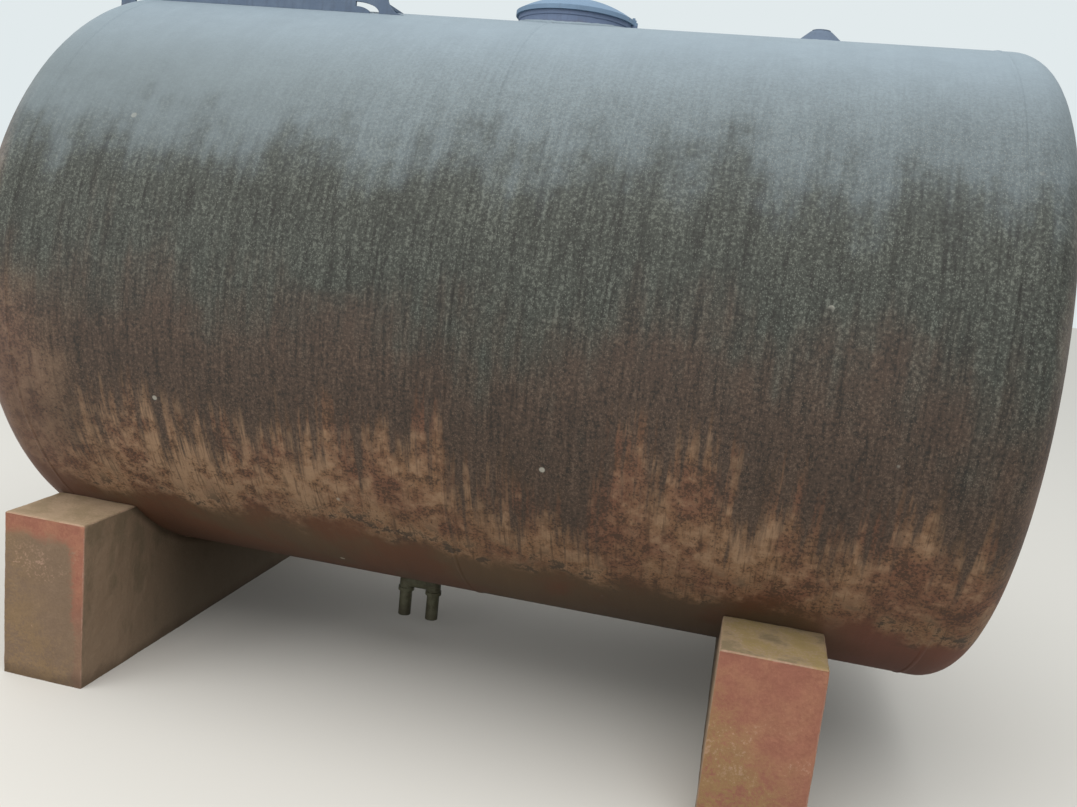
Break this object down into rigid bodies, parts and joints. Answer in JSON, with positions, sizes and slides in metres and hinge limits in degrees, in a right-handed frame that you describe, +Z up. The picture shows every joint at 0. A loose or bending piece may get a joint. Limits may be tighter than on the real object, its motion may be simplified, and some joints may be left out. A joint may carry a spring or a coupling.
{
  "type": "horizontal pressure tank",
  "caption": "Weathered horizontal steel tank with shallow dished ends, domed manhole, plugged vent cone, angle steel cradle and bottom outlet, resting on two painted piers.",
  "frame": {"origin": "on the ground under the middle of the tank, on the tank's axis plane", "axes": "+X along the tank towards the vent cone, +Y away from the side that the picture shows, +Z up"},
  "size_m": [3.1038, 2.004, 2.3693],
  "materials": {
    "shell_paint": "weathered red oxide paint under dark growth",
    "weld_bead": "painted weld bead",
    "fitting_steel": "dull dark weathered steel",
    "cradle_steel": "dark rusted angle steel",
    "pier_plaster": "red painted plaster, worn and mossy",
    "outlet_pipe": "dusty olive grey pipe"
  },
  "bodies": {
    "root": {"pier_left": "pier_plaster", "pier_right": "pier_plaster", "shell_left": "shell_paint", "shell_right": "shell_paint", "head_left": "shell_paint", "head_right": "shell_paint", "weld_head_left": "weld_bead", "weld_middle": "weld_bead", "weld_head_right": "weld_bead", "manhole_neck": "fitting_steel", "manhole_ring": "fitting_steel", "manhole_cover": "fitting_steel", "cover_stud": "fitting_steel", "cover_nut": "fitting_steel", "bearer_front": "cradle_steel", "bearer_back": "cradle_steel", "tie_left": "cradle_steel", "tie_middle": "cradle_steel", "tie_right": "cradle_steel", "vent_cone": "fitting_steel", "vent_plug": "fitting_steel", "outlet_boss": "outlet_pipe", "outlet_header": "outlet_pipe", "drop_left": "outlet_pipe", "drop_right": "outlet_pipe"}
  },
  "joints": []
}
